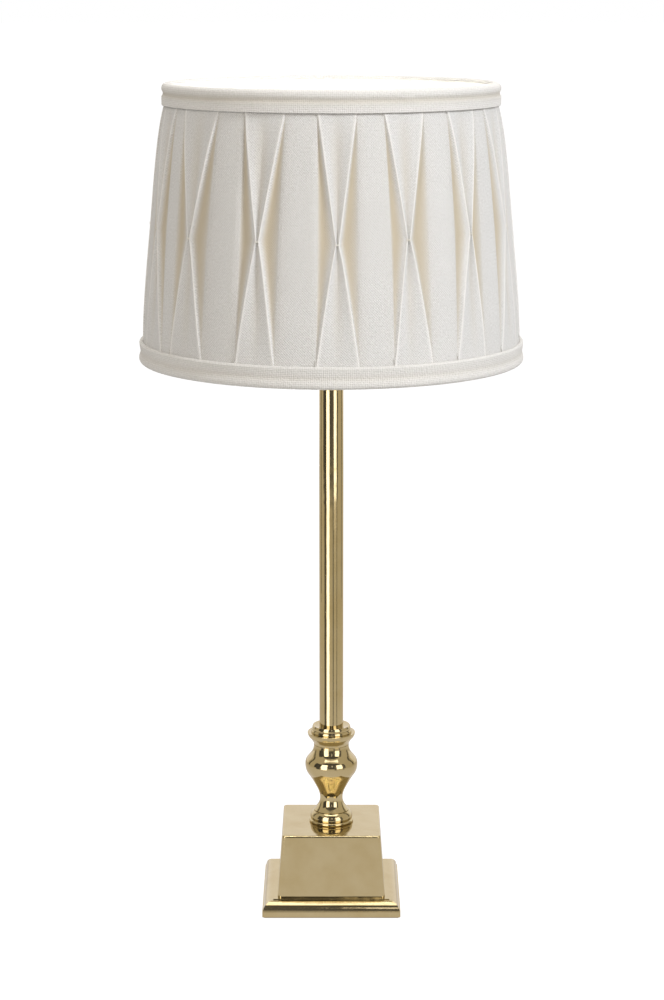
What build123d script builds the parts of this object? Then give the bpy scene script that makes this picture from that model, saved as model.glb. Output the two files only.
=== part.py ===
from build123d import *
import os
from math import atan2, cos, degrees, hypot, pi, radians, sin

# Candlestick lamp. Millimetres, +Z up, -Y is the front. The origin is the centre of the
# foot's underside. Every size is written once here; seats and clearances follow from them.

# Foot
pad_thickness = 0.8
pad_inset = 1.5
plinth_width = 92.0
plinth_band_height = 3.9
plinth_step = 0.5
plinth_round_width = 6.8
plinth_round_height = 5.3
plinth_riser = 0.7
plinth_top_plate = 3.0
plinth_wall = 4.5
plinth_corner = 1.4
block_bottom_width = 71.8
block_top_width = 65.6
block_height = 41.8
block_wall = 2.6
block_corner = 2.4
block_top_edge = 1.2

# Cast weight inside the foot
weight_gap = 0.4
weight_lip = 4.0
weight_pocket_radius = 13.0
weight_clamp_land = 22.0
cord_channel_height = 9.0
bushing_bore_radius = 3.5
bushing_wall = 1.4
bushing_flange = 2.0
bushing_flange_thickness = 1.8

# Hollow threaded rod and its nut
rod_radius = 5.0
rod_bore_radius = 3.6
rod_clearance = 0.25
rod_below_nut = 3.0
nut_across_flats = 14.0
nut_thickness = 4.0
washer_radius = 11.0
washer_thickness = 1.6

# Turned stack: bead, vase, collar (radii and heights)
bead_foot_radius = 14.2
bead_radius = 14.9
bead_height = 2.0
groove_depth = 0.7
groove_width = 0.5
dome_top_radius = 11.9
dome_height = 5.4
vase_seat_radius = 11.7
vase_seat_round = 0.5
lower_neck_radius = 7.7
lower_flank_radius = 10.3
upper_flank_radius = 14.7
vase_radius = 17.6
vase_shoulder_radius = 14.0
upper_neck_radius = 11.8
vase_seat_to_neck = 8.8
neck_to_flank = 8.3
flank_height = 7.5
flank_to_vase = 8.1
vase_to_shoulder = 6.9
shoulder_to_neck = 6.5
seat_spigot = 2.0
collar_cove_height = 5.6
collar_cove_radius = 13.0
collar_line_depth = 0.35
collar_line_width = 0.4
flange_radius = 16.0
flange_height = 3.2
flange_edge = 1.0
flange_lip = 0.35
collar_ring_radius = 13.6
collar_ring_height = 2.1
collar_top_radius = 12.8
collar_top_height = 2.7
collar_edge = 0.5
collar_lip = 1.0
collar_tube_depth = 6.0

# Stem
tube_radius = 8.0
tube_wall = 1.2
tube_length = 235.0
stem_cap_radius = 8.8
stem_cap_height = 2.0
stem_cap_spigot = 6.0

# Lampholder
holder_radius = 19.0
holder_wall = 1.0
cap_neck_radius = 8.0
cap_neck_height = 6.0
cap_dome_height = 7.0
cap_side_height = 13.0
insert_seat = 1.5
insert_height = 10.0
insert_below_joint = 6.0
sleeve_height = 34.0
sleeve_thread_radius = 19.8
sleeve_thread_height = 27.0
sleeve_lip = 1.0
sleeve_mouth_radius = 15.6
shell_inner_radius = 13.3
shell_wall = 0.6
shell_height = 24.0
shell_base_gap = 3.5
contact_height = 1.8
contact_width = 7.0
contact_leaf = 0.8
contact_bend = 2.5
screw_radius = 1.5
screw_head_radius = 2.8
screw_head_height = 1.8
terminal_radius = 11.0

# Rotary switch in the lampholder's cap
spindle_radius = 2.0
spindle_running_gap = 0.06
cam_radius = 3.6
cam_length = 5.0
cam_gap = 0.8
knob_radius = 6.5
knob_length = 10.0
knob_gap = 0.8
knob_flutes = 12
knob_flute_radius = 1.0

# Shade rings on the lampholder
ring_running_gap = 0.1
ring_flange_radius = 28.5
ring_flange_thickness = 1.5
ring_hub_wall = 2.4
ring_hub_height = 7.0
seat_ring_height = 43.0

# Bulb
bulb_shell_radius = 13.2
bulb_shell_height = 22.5
bulb_shell_wall = 0.5
bulb_insulator_height = 2.6
bulb_insulator_top_radius = 11.0
bulb_tip_radius = 4.6
bulb_tip_height = 1.2
bulb_tip_gap = 0.1
glass_neck_radius = 12.4
glass_radius = 17.5
glass_wall = 0.8
glass_height = 73.5
glass_widest = 30.0
glass_tip_radius = 3.0
glass_tip_lean = 20.0
stem_glass_radius = 4.0
stem_glass_height = 26.0
filament_radius = 0.9
filament_length = 30.0
filament_circle = 6.0
filament_count = 4

# Shade frame
rim_wire_radius = 1.6
top_rim_radius = 107.3
bottom_rim_radius = 125.0
shade_height = 178.7
shade_above_holder_foot = 17.3
bead_wrap = 1.5
fitter_bore_radius = 21.0
fitter_rim = 2.5
fitter_thickness = 1.5
arm_radius = 1.7
arm_count = 3
arm_flat_run = 10.0

# Shade liner, cloth and bindings
liner_thickness = 0.8
soft_gap = 0.3
cloth_thickness = 0.8
cloth_bulge = 3.2
binding_thickness = 1.3
binding_height = 14.0
binding_inner_height = 6.0
pinch_count = 16
pinch_turn = 0.6
pinch_height_share = 0.49
pleat_top_width = 23.0
pleat_waist_width = 7.0
pleat_bottom_width = 27.0
pleat_edge_rise = 1.0
pleat_waist_rise = 4.0
pleat_valley_rise = 0.6
pleat_crest_share = 0.92
stitch_radius = 0.9
stitch_length = 5.0

# Heights that follow from the sizes above
plinth_bottom = pad_thickness
plinth_band_top = plinth_bottom + plinth_band_height
plinth_top = plinth_band_top + plinth_step + plinth_round_height + plinth_riser
block_top = plinth_top + block_height
bead_top = block_top + bead_height + groove_width
vase_bottom = bead_top + dome_height
vase_height = (vase_seat_to_neck + neck_to_flank + flank_height + flank_to_vase
               + vase_to_shoulder + shoulder_to_neck)
collar_bottom = vase_bottom + vase_height
flange_bottom = collar_bottom + collar_cove_height
collar_top = flange_bottom + flange_height + collar_ring_height + collar_top_height
tube_bottom = collar_top - collar_tube_depth
tube_top = tube_bottom + tube_length
holder_foot = tube_top + stem_cap_height
holder_joint = holder_foot + cap_neck_height + cap_dome_height + cap_side_height
insert_bottom = holder_joint - insert_below_joint
insert_top = insert_bottom + insert_height
holder_mouth = holder_joint + sleeve_height
weight_bottom = plinth_bottom
cord_height = plinth_top + cord_channel_height
clamp_height = plinth_top + weight_clamp_land
rod_bottom = clamp_height - washer_thickness - nut_thickness - rod_below_nut
rod_top = holder_foot + cap_neck_height + cap_dome_height * 0.5
spindle_height = insert_bottom - cam_gap - cam_radius
shell_bottom = insert_top + shell_base_gap
bulb_tip_bottom = insert_top + contact_height + bulb_tip_gap
bulb_shell_bottom = bulb_tip_bottom + bulb_tip_height + bulb_insulator_height
glass_bottom = bulb_shell_bottom + bulb_shell_height
seat_flange_top = holder_foot + seat_ring_height
fitter_top = seat_flange_top + fitter_thickness
shade_bottom = holder_foot + shade_above_holder_foot
shade_top = shade_bottom + shade_height

# Radii that follow
rod_hole = rod_radius + rod_clearance
binding_bead = rim_wire_radius + bead_wrap
bottom_wire_circle = bottom_rim_radius - binding_bead
top_wire_circle = top_rim_radius - binding_bead
bottom_wire_height = shade_bottom + binding_bead
top_wire_height = shade_top - binding_bead
fitter_outer_radius = ring_flange_radius + fitter_rim
cone_slope = (bottom_wire_circle - top_wire_circle) / (top_wire_height - bottom_wire_height)
block_slope = (block_bottom_width - block_top_width) / 2 / block_height

# Shapes stand on their own lower face unless said otherwise.
standing = (Align.CENTER, Align.CENTER, Align.MIN)


def turned(outline):
    # A solid of revolution about the lamp's axis, from a closed outline of (radius, height).
    return revolve(Plane.XZ * make_face(outline), Axis.Z)


def ring(outer, inner, low, high):
    # A plain washer or sleeve between two heights; inner 0 gives a disc.
    body = Pos(0, 0, low) * Cylinder(outer, high - low, align=standing)
    if inner > 0:
        body -= Pos(0, 0, low) * Cylinder(inner, high - low, align=standing)
    return body


def radial(shape, angle, height, distance=0.0):
    # Lays a shape that is built along +Z so that it points outward at an angle and height.
    return Rot(0, 0, angle) * Pos(distance, 0, height) * Rot(0, 90, 0) * shape


def group(shapes):
    return Compound(children=list(shapes))


# ---- foot ----

def base_pad():
    side = plinth_width - 2 * pad_inset
    return Pos(0, 0, pad_thickness / 2) * Box(side, side, pad_thickness)


def plinth_profile():
    # Front view of the plinth: straight band, small step, ovolo moulding, low riser, flat top.
    half = plinth_width / 2
    shoulder = half - plinth_step
    ledge = shoulder - plinth_round_width
    round_foot = plinth_band_top + plinth_step
    round_top = round_foot + plinth_round_height
    crest = (ledge + plinth_round_width * cos(pi / 4), round_foot + plinth_round_height * sin(pi / 4))
    right = Polyline((0, plinth_bottom), (half, plinth_bottom), (half, plinth_band_top),
                     (shoulder, plinth_band_top), (shoulder, round_foot))
    right += ThreePointArc((shoulder, round_foot), crest, (ledge, round_top))
    right += Polyline((ledge, round_top), (ledge, plinth_top), (0, plinth_top), (0, plinth_bottom))
    right = make_face(right)
    return right + mirror(right, Plane.YZ)


def weight_side(height):
    # Half width of the cast weight where it fills the tapered block.
    inner = block_bottom_width / 2 - block_wall - weight_gap
    return inner - block_slope * (height - plinth_top)


def base_plinth():
    run = extrude(Plane.XZ * plinth_profile(), plinth_width / 2, both=True)
    solid = run & Rot(0, 0, 90) * run
    upright = [e for e in solid.edges().filter_by(Axis.Z) if e.center().Z < plinth_band_top]
    solid = fillet(upright, plinth_corner)
    cavity = plinth_width - 2 * plinth_wall
    depth = plinth_top - plinth_top_plate - plinth_bottom
    solid -= Pos(0, 0, plinth_bottom) * Box(cavity, cavity, depth, align=standing)
    well = 2 * (weight_side(plinth_top) + weight_gap)
    solid -= Pos(0, 0, plinth_bottom) * Box(well, well, plinth_top, align=standing)
    return solid


def tapered_block(bottom, top, low, high, corner):
    foot = Pos(0, 0, low) * RectangleRounded(bottom, bottom, corner)
    head = Pos(0, 0, high) * RectangleRounded(top, top, corner)
    return loft([foot, head])


def base_block():
    solid = tapered_block(block_bottom_width, block_top_width, plinth_top, block_top, block_corner)
    rim = solid.faces().sort_by(Axis.Z)[-1].edges()
    solid = fillet(rim, block_top_edge)
    wall = 2 * block_wall
    ceiling = block_top - block_wall
    top_inside = block_bottom_width - 2 * block_slope * (ceiling - plinth_top) - wall
    solid -= tapered_block(block_bottom_width - wall, top_inside, plinth_top, ceiling, block_corner / 2)
    solid -= ring(rod_hole, 0, ceiling, block_top)
    return solid - at_inlet(bushing_hole())


def base_weight():
    # Cast iron: a lip under the plinth's plate, a block that fills the shell, a pocket for the nut.
    ceiling = block_top - block_wall - weight_gap
    plate = plinth_top - plinth_top_plate
    lip = 2 * (weight_side(plinth_top) + weight_lip)
    solid = Pos(0, 0, weight_bottom) * Box(lip, lip, plate - weight_bottom, align=standing)
    solid += tapered_block(2 * weight_side(plate), 2 * weight_side(ceiling), plate, ceiling, block_corner / 2)
    solid -= ring(weight_pocket_radius, 0, weight_bottom, clamp_height)
    solid -= ring(rod_hole, 0, weight_bottom, ceiling)
    return solid - at_inlet(cord_channel())


def at_inlet(shape):
    # Places a shape built along +Z on the block's sloping back face, pointing outward.
    back = block_bottom_width / 2 - block_slope * (cord_height - plinth_top)
    tilt = degrees(atan2(block_slope, 1))
    return Pos(0, back, cord_height) * Rot(tilt - 90, 0, 0) * shape


def bushing_hole():
    return Cylinder(bushing_bore_radius + bushing_wall, 4 * block_wall)


def cord_channel():
    length = block_bottom_width / 2
    return Pos(0, 0, -length / 2) * Cylinder(bushing_bore_radius + bushing_wall, length)


def cord_bushing():
    neck = block_wall + weight_gap
    outer = bushing_bore_radius + bushing_wall
    sleeve = Pos(0, 0, -neck / 2) * Cylinder(outer, neck)
    flange = Cylinder(outer + bushing_flange, bushing_flange_thickness, align=standing)
    flange = fillet(flange.faces().sort_by(Axis.Z)[-1].edges(), bushing_flange_thickness * 0.5)
    return at_inlet(sleeve + flange - Cylinder(bushing_bore_radius, 4 * neck))


def rod_washer():
    return ring(washer_radius, rod_hole, clamp_height - washer_thickness, clamp_height)


def rod_nut():
    top = clamp_height - washer_thickness
    hexagon = RegularPolygon(nut_across_flats / 2, 6, major_radius=False)
    nut = Pos(0, 0, top - nut_thickness) * extrude(hexagon, nut_thickness)
    return nut - ring(rod_radius, 0, top - nut_thickness, top)


def threaded_rod():
    return ring(rod_radius, rod_bore_radius, rod_bottom, rod_top)


# ---- turned stack ----

def foot_bead():
    # A rounded bead on the block, a fine groove, then a full dome up to the vase's foot.
    groove = bead_radius - groove_depth
    ridge = block_top + bead_height
    outline = Line((rod_hole, block_top), (bead_foot_radius, block_top))
    outline += ThreePointArc((bead_foot_radius, block_top), (bead_radius, block_top + bead_height / 2),
                             (groove, ridge))
    outline += Polyline((groove, ridge), (groove - groove_depth / 2, ridge + groove_width / 2),
                        (groove, bead_top))
    outline += TangentArc((groove, bead_top), (dome_top_radius, vase_bottom), tangent=(0.12, 1))
    outline += Polyline((dome_top_radius, vase_bottom), (rod_hole, vase_bottom), (rod_hole, block_top))
    return turned(outline)


def vase():
    # Inverted pear between two necks, on a flared foot whose edge is rounded at the seat.
    neck = (lower_neck_radius, vase_bottom + vase_seat_to_neck)
    lower_flank = (lower_flank_radius, neck[1] + neck_to_flank)
    upper_flank = (upper_flank_radius, lower_flank[1] + flank_height)
    belly = (vase_radius, upper_flank[1] + flank_to_vase)
    shoulder = (vase_shoulder_radius, belly[1] + vase_to_shoulder)
    top = (upper_neck_radius, collar_bottom)
    seat = (vase_seat_radius - vase_seat_round, vase_bottom)
    foot = (vase_seat_radius, vase_bottom + vase_seat_round)
    outline = Line((rod_hole, vase_bottom), seat)
    outline += TangentArc(seat, foot, tangent=(1, 0))
    outline += Spline(foot, neck, tangents=[(-0.8, 1), (0, 1)])
    outline += Spline(neck, lower_flank, upper_flank, belly, tangents=[(0, 1), (0, 1)])
    outline += Spline(belly, shoulder, top, tangents=[(0, 1), (0, 1)])
    spigot = (rod_hole + seat_spigot, collar_bottom)
    outline += Polyline(top, spigot, (spigot[0], collar_bottom + seat_spigot),
                        (rod_hole, collar_bottom + seat_spigot), (rod_hole, vase_bottom))
    return turned(outline)


def neck_collar():
    # A cove between two fine turned lines, a cup-edged flange, two stepped rings, the tube's seat.
    spigot = rod_hole + seat_spigot
    foot = (upper_neck_radius, collar_bottom)
    middle = (collar_cove_radius, collar_bottom + collar_cove_height * 0.57)
    under = (flange_radius - flange_edge, flange_bottom)
    flange_top = flange_bottom + flange_height
    rim = (flange_radius, flange_top - flange_lip)
    over = (flange_radius - flange_lip, flange_top)
    step = flange_top + collar_ring_height
    outline = Line((spigot, collar_bottom), foot)
    outline += Spline(foot, middle, under, tangents=[(0, 1), (1, 0.8)])
    outline += TangentArc(under, rim, tangent=(0.7, 1))
    outline += TangentArc(rim, over, tangent=(0, 1))
    outline += Line(over, (collar_ring_radius, flange_top))
    outline += ThreePointArc((collar_ring_radius, flange_top),
                             (collar_ring_radius, flange_top + collar_ring_height / 2),
                             (collar_ring_radius - collar_edge, step))
    outline += Line((collar_ring_radius - collar_edge, step), (collar_top_radius, step))
    outline += ThreePointArc((collar_top_radius, step),
                             (collar_top_radius, step + collar_top_height / 2),
                             (collar_top_radius - collar_edge, collar_top))
    lip = tube_radius + collar_lip
    outline += Polyline((collar_top_radius - collar_edge, collar_top), (lip, collar_top - collar_lip / 2),
                        (tube_radius, collar_top - collar_lip / 2), (tube_radius, tube_bottom),
                        (rod_hole, tube_bottom), (rod_hole, collar_bottom + seat_spigot),
                        (spigot, collar_bottom + seat_spigot), (spigot, collar_bottom))
    solid = turned(outline)
    lines = ((collar_bottom + collar_line_width / 2, upper_neck_radius),
             (flange_bottom - collar_line_width, under[0] - collar_line_width / 2))
    for height, radius in lines:
        solid -= ring(flange_radius, radius - collar_line_depth, height, height + collar_line_width)
    return solid


def stem_tube():
    return ring(tube_radius, tube_radius - tube_wall, tube_bottom, tube_top)


def stem_cap():
    rim = ring(stem_cap_radius, 0, tube_top, holder_foot)
    rim = fillet(rim.edges().sort_by(Axis.Z)[0], stem_cap_height * 0.4)
    plug = ring(tube_radius - tube_wall, 0, tube_top - stem_cap_spigot, tube_top)
    return rim + plug - ring(rod_hole, 0, tube_top - stem_cap_spigot, holder_foot)


# ---- lampholder ----

def holder_cap():
    inner = holder_radius - holder_wall
    neck_top = holder_foot + cap_neck_height
    side_bottom = neck_top + cap_dome_height
    outline = Polyline((rod_radius, holder_foot), (cap_neck_radius, holder_foot), (cap_neck_radius, neck_top))
    outline += TangentArc((cap_neck_radius, neck_top), (holder_radius, side_bottom), tangent=(1.6, 1))
    outline += Polyline((holder_radius, side_bottom), (holder_radius, holder_joint), (inner, holder_joint),
                        (inner, insert_bottom), (inner - insert_seat, insert_bottom),
                        (inner - insert_seat, side_bottom))
    outline += TangentArc((cap_neck_radius, neck_top + holder_wall * 2), (inner - insert_seat, side_bottom),
                          tangent=(1.8, 1))
    outline += Polyline((cap_neck_radius, neck_top + holder_wall * 2), (cap_neck_radius, rod_top),
                        (rod_radius, rod_top), (rod_radius, holder_foot))
    solid = turned(outline)
    hole = Cylinder(spindle_radius + spindle_running_gap, holder_radius)
    solid -= radial(hole, 90, spindle_height, holder_radius)
    bore = Cylinder(screw_radius, cap_neck_radius)
    return solid - radial(bore, 0, holder_foot + cap_neck_height / 2, cap_neck_radius)


def holder_lock_screw():
    length = cap_neck_radius - rod_radius + 1.0
    screw = Cylinder(screw_radius, length, align=standing)
    slot = Pos(0, 0, length) * Box(screw_radius * 0.5, 4 * screw_radius, 1.2)
    return radial(screw - slot, 0, holder_foot + cap_neck_height / 2, rod_radius)


def holder_insert():
    # Moulded disc: contact seat on top, terminal slots below, a groove for the side contact.
    disc = ring(holder_radius - holder_wall, 0, insert_bottom, insert_top)
    for side in (0, 180):
        slot = Box(2 * screw_head_radius + 1.0, 2 * screw_head_radius + 1.0, insert_height * 0.6)
        disc -= Rot(0, 0, side) * Pos(terminal_radius, 0, insert_bottom) * slot
    return disc


def terminal_screws():
    seat = insert_bottom + insert_height * 0.3
    shank = seat - insert_bottom + 1.0
    screws = []
    for side in (0, 180):
        head = ring(screw_head_radius, 0, seat - screw_head_height, seat)
        pin = ring(screw_radius, 0, seat - shank, seat - screw_head_height)
        slot = Pos(0, 0, seat - shank) * Box(0.6, 4 * screw_radius, 1.2)
        screws.append(Rot(0, 0, side) * Pos(terminal_radius, 0, 0) * (head + pin - slot))
    return group(screws)


def centre_contact():
    # A springy leaf, bowed up under the bulb's tip.
    half = contact_width
    low = insert_top
    high = insert_top + contact_height
    path = Polyline((-half, low), (-half + contact_bend, low), (-contact_bend, high - contact_leaf),
                    (contact_bend, high - contact_leaf), (half - contact_bend, low), (half, low),
                    (half, low + contact_leaf), (half - contact_bend, low + contact_leaf),
                    (contact_bend, high), (-contact_bend, high), (-half + contact_bend, low + contact_leaf),
                    (-half, low + contact_leaf), (-half, low))
    return extrude(Plane.XZ * make_face(path), contact_width / 4, both=True)


def side_contact():
    # An upright tab that joins the screw shell to the insert.
    outer = shell_inner_radius
    tab = Pos(0, outer - contact_leaf / 2, insert_top + shell_base_gap / 2)
    return tab * Box(contact_width, contact_leaf, shell_base_gap)


def screw_shell():
    outer = shell_inner_radius + shell_wall
    return ring(outer, shell_inner_radius, shell_bottom, shell_bottom + shell_height)


def shell_insulator():
    lip = holder_mouth - sleeve_lip
    outer = holder_radius - holder_wall
    pocket = shell_inner_radius + shell_wall
    body = ring(outer, pocket, insert_top, shell_bottom + shell_height)
    top = ring(outer, sleeve_mouth_radius, shell_bottom + shell_height, lip)
    return body + top


def holder_sleeve():
    inner = holder_radius - holder_wall
    thread_bottom = holder_mouth - sleeve_thread_height
    body = ring(holder_radius, inner, holder_joint, thread_bottom)
    thread = ring(sleeve_thread_radius, inner, thread_bottom, holder_mouth - sleeve_lip)
    lip = ring(sleeve_thread_radius, sleeve_mouth_radius, holder_mouth - sleeve_lip, holder_mouth)
    lip = fillet(lip.edges().sort_by(Axis.Z)[-1], sleeve_lip * 0.6)
    return body + thread + lip


# ---- switch ----

def switch_spindle():
    inner = cam_length * 0.5
    length = holder_radius + knob_gap + knob_length * 0.7 - inner
    pin = Cylinder(spindle_radius, length, align=standing)
    return radial(pin, 90, spindle_height, inner)


def switch_cam():
    inner = cam_length * 0.5
    flat = Pos(cam_radius, 0, 0) * Box(cam_radius, 4 * cam_radius, 2 * cam_length)
    lobe = Cylinder(cam_radius, cam_length) - flat - Cylinder(spindle_radius, 2 * cam_length)
    return radial(lobe, 90, spindle_height, inner + cam_length * 0.9)


def switch_knob():
    # A slightly tapered knob with flutes round its grip and a domed end.
    grip = Cone(knob_radius, knob_radius * 0.86, knob_length, align=standing)
    grip = fillet(grip.edges().sort_by(Axis.Z)[-1], knob_radius * 0.22)
    for turn in range(knob_flutes):
        angle = 360 / knob_flutes * turn
        grip -= Rot(0, 0, angle) * Pos(knob_radius, 0, 0) * Cylinder(knob_flute_radius, 4 * knob_length)
    grip -= Cylinder(spindle_radius, 2 * knob_length * 0.7)
    return radial(grip, 90, spindle_height, holder_radius + knob_gap)


# ---- rings that grip the shade ----

def shade_seat_ring():
    inner = sleeve_thread_radius + ring_running_gap
    hub = ring(inner + ring_hub_wall, inner, seat_flange_top - ring_hub_height, seat_flange_top)
    flange = ring(ring_flange_radius, inner, seat_flange_top - ring_flange_thickness, seat_flange_top)
    flange = fillet(flange.edges().filter_by(GeomType.CIRCLE).sort_by(SortBy.RADIUS)[-2:], 0.6)
    return hub + flange


def shade_clamp_ring():
    inner = sleeve_thread_radius + ring_running_gap
    hub = ring(inner + ring_hub_wall, inner, fitter_top, fitter_top + ring_hub_height)
    hub = fillet(hub.edges().sort_by(Axis.Z)[-1], 0.6)
    flange = ring(ring_flange_radius, inner, fitter_top, fitter_top + ring_flange_thickness)
    return hub + flange


# ---- bulb ----

def bulb_tip():
    tip = ring(bulb_tip_radius, 0, bulb_tip_bottom, bulb_tip_bottom + bulb_tip_height)
    return fillet(tip.edges().sort_by(Axis.Z)[0], bulb_tip_height * 0.6)


def bulb_insulator():
    low = bulb_tip_bottom + bulb_tip_height
    cone = Cone(bulb_tip_radius + 1.0, bulb_insulator_top_radius, bulb_insulator_height,
                align=standing)
    return Pos(0, 0, low) * cone


def bulb_shell():
    inner = bulb_shell_radius - bulb_shell_wall
    wall = ring(bulb_shell_radius, inner, bulb_shell_bottom, glass_bottom)
    floor_ring = ring(bulb_shell_radius, 0, bulb_shell_bottom, bulb_shell_bottom + bulb_shell_wall)
    floor_ring = fillet(floor_ring.edges().sort_by(Axis.Z)[0], bulb_shell_wall * 0.8)
    return wall + floor_ring


def glass_side(inset):
    # One side of the candle-shaped envelope: swelling neck, taper, rounded tip.
    neck = (glass_neck_radius - inset, glass_bottom)
    belly = (glass_radius - inset, glass_bottom + glass_widest)
    tip = glass_tip_radius - inset
    top = glass_bottom + glass_height - inset
    lean = radians(glass_tip_lean)
    middle = (lean + pi / 2) / 2
    flank = (tip * cos(lean), top - tip + tip * sin(lean))
    side = Spline(neck, belly, tangents=[(0.05, 1), (0, 1)])
    side += Spline(belly, flank, tangents=[(0, 1), (-sin(lean), cos(lean))])
    side += ThreePointArc(flank, (tip * cos(middle), top - tip + tip * sin(middle)), (0, top))
    return side, neck, (0, top)


def bulb_glass():
    outer, outer_neck, outer_top = glass_side(0)
    inner, inner_neck, inner_top = glass_side(glass_wall)
    return turned(outer + Line(outer_top, inner_top) + inner + Line(inner_neck, outer_neck))


def bulb_stem():
    foot = ring(glass_neck_radius - glass_wall, 0, glass_bottom, glass_bottom + glass_wall)
    post = ring(stem_glass_radius, 0, glass_bottom + glass_wall, glass_bottom + stem_glass_height)
    post = fillet(post.edges().sort_by(Axis.Z)[-1], stem_glass_radius * 0.5)
    return foot + post


def bulb_filament():
    # Upright filaments that stand on the stem's shoulder, leaning in to a common tip.
    low = glass_bottom + glass_wall
    rods = []
    for turn in range(filament_count):
        rod = ring(filament_radius, 0, low, low + filament_length)
        rods.append(Rot(0, 0, 360 / filament_count * turn) * Pos(filament_circle, 0, 0) * rod)
    return group(rods)


# ---- shade ----

def cone_radius(height, outside=0.0):
    # Radius of the shade's straight cone, measured out from the circle through both wires.
    return bottom_wire_circle - cone_slope * (height - bottom_wire_height) + outside


def wire(circle, height):
    return Pos(0, 0, height) * Torus(circle, rim_wire_radius)


def arm_path():
    # Level from the bottom wire, then up to the fitter ring.
    rise = seat_flange_top + fitter_thickness / 2
    start = (fitter_outer_radius - fitter_rim / 3, rise)
    bend = (bottom_wire_circle - arm_flat_run, bottom_wire_height)
    end = (bottom_wire_circle, bottom_wire_height)
    return start, bend, end


def arms(radius):
    start, bend, end = arm_path()
    slope = atan2(start[1] - bend[1], bend[0] - start[0])
    run = hypot(bend[0] - start[0], start[1] - bend[1])
    sloping = Pos(start[0], 0, start[1]) * Rot(0, 90 + degrees(slope), 0)
    sloping *= Cylinder(radius, run, align=standing)
    level = Pos(bend[0], 0, bend[1]) * Rot(0, 90, 0)
    level *= Cylinder(radius, end[0] - bend[0], align=standing)
    one = sloping + level + Pos(bend[0], 0, bend[1]) * Sphere(radius)
    return [Rot(0, 0, 90 + 360 / arm_count * turn) * one for turn in range(arm_count)]


def shade_fitter():
    return ring(fitter_outer_radius, fitter_bore_radius, seat_flange_top, fitter_top)


def bottom_wire():
    return wire(bottom_wire_circle, bottom_wire_height)


def spider_arms():
    # Each arm is coped where it is welded to the fitter ring and to the bottom wire.
    return group(arm - shade_fitter() - bottom_wire() for arm in arms(arm_radius))


def top_wire():
    return wire(top_wire_circle, top_wire_height)


def liner_span():
    clear = rim_wire_radius + soft_gap
    return bottom_wire_height + clear, top_wire_height - clear


def shade_liner():
    low, high = liner_span()
    outer = (cone_radius(low), cone_radius(high))
    outline = Polyline((outer[0], low), (outer[1], high), (outer[1] - liner_thickness, high),
                       (outer[0] - liner_thickness, low), (outer[0], low))
    return turned(outline)


def open_cloth():
    # Heights between the two bindings, where the cloth shows and bulges.
    flap = binding_height - binding_bead
    return bottom_wire_height + flap, top_wire_height - flap


def cloth_radius(height):
    # Outer radius of the cloth: a straight cone plus a shallow swell between the bindings.
    low, high = open_cloth()
    share = 2 * (height - low) / (high - low) - 1
    swell = cloth_bulge * max(0, 1 - share * share)
    return cone_radius(height, soft_gap + cloth_thickness + swell)


def pleat_section(share):
    # One level cut through a pleat: two raised folds with a hollow between them.
    low, high = open_cloth()
    height = low + (high - low) * share
    end_width, reach = pleat_bottom_width, pinch_height_share
    if share > pinch_height_share:
        end_width, reach = pleat_top_width, 1 - pinch_height_share
    away = abs(share - pinch_height_share) / reach
    half = (pleat_waist_width + (end_width - pleat_waist_width) * away) / 2
    rise = pleat_waist_rise + (pleat_edge_rise - pleat_waist_rise) * away
    base = cloth_radius(height)
    root = base - cloth_thickness / 2
    round_off = half * half / (2 * base)
    foot, fold = root - round_off, base + rise - round_off
    valley = (base + pleat_valley_rise, 0)
    crest = half * pleat_crest_share
    points = [(root, 0), (foot, -half), (fold, -crest), valley, (fold, crest), (foot, half)]
    return Pos(0, 0, height) * make_face(Polyline(*points, close=True))


def pleat():
    # The folds run from the lower binding in to the pinched waist and out to the upper binding.
    waist = pinch_height_share
    lower = loft([pleat_section(share) for share in (0.004, waist * 0.5, waist)], ruled=True)
    upper = loft([pleat_section(share) for share in (waist, (1 + waist) / 2, 0.996)], ruled=True)
    return lower + upper


def shade_cover():
    # The cloth stands off the liner: straight inside, bulging outside where the pleats gather.
    low, high = liner_span()
    inside = [(cone_radius(z, soft_gap), z) for z in (low, high)]
    bottom, top = open_cloth()
    path = [(cloth_radius(z), z) for z in (low, bottom, (bottom + top) / 2, top, high)]
    outline = Polyline(inside[0], path[0], path[1])
    outline += ThreePointArc(path[1], path[2], path[3])
    outline += Polyline(path[3], path[4], inside[1], inside[0])
    cloth = turned(outline)
    one = pleat()
    return cloth + [Rot(0, 0, pleat_angle(n)) * one for n in range(pinch_count)]


def pleat_angle(n):
    return pinch_turn - 90 + 360 / pinch_count * n


def binding(circle, wire_height, direction):
    # A bias strip rolled round a rim's wire, with a flap outside and a shorter one inside.
    hollow = rim_wire_radius + soft_gap
    roll = Pos(0, 0, wire_height) * (Torus(circle, binding_bead) - Torus(circle, hollow))
    near = wire_height + direction * hollow * 0.8
    flap_end = wire_height + direction * (binding_height - binding_bead)
    inner_end = wire_height + direction * (binding_inner_height - binding_bead)
    clear_out = soft_gap * 2 + cloth_thickness
    clear_in = -liner_thickness - soft_gap
    slot = strip(wire_height, flap_end + direction, clear_in, clear_out - clear_in)
    outer = strip(near, flap_end, clear_out, binding_thickness)
    inner = strip(near, inner_end, clear_in - binding_thickness, binding_thickness)
    return roll - slot + outer + inner


def strip(low, high, offset, thickness):
    # A thin band parallel to the shade's cone.
    outline = Polyline((cone_radius(low, offset), low), (cone_radius(low, offset + thickness), low),
                       (cone_radius(high, offset + thickness), high), (cone_radius(high, offset), high),
                       (cone_radius(low, offset), low))
    return turned(outline)


def bottom_trim():
    trim = binding(bottom_wire_circle, bottom_wire_height, 1)
    for arm in arms(arm_radius + soft_gap):
        trim -= arm
    return trim


def top_trim():
    return binding(top_wire_circle, top_wire_height, -1)


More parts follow.
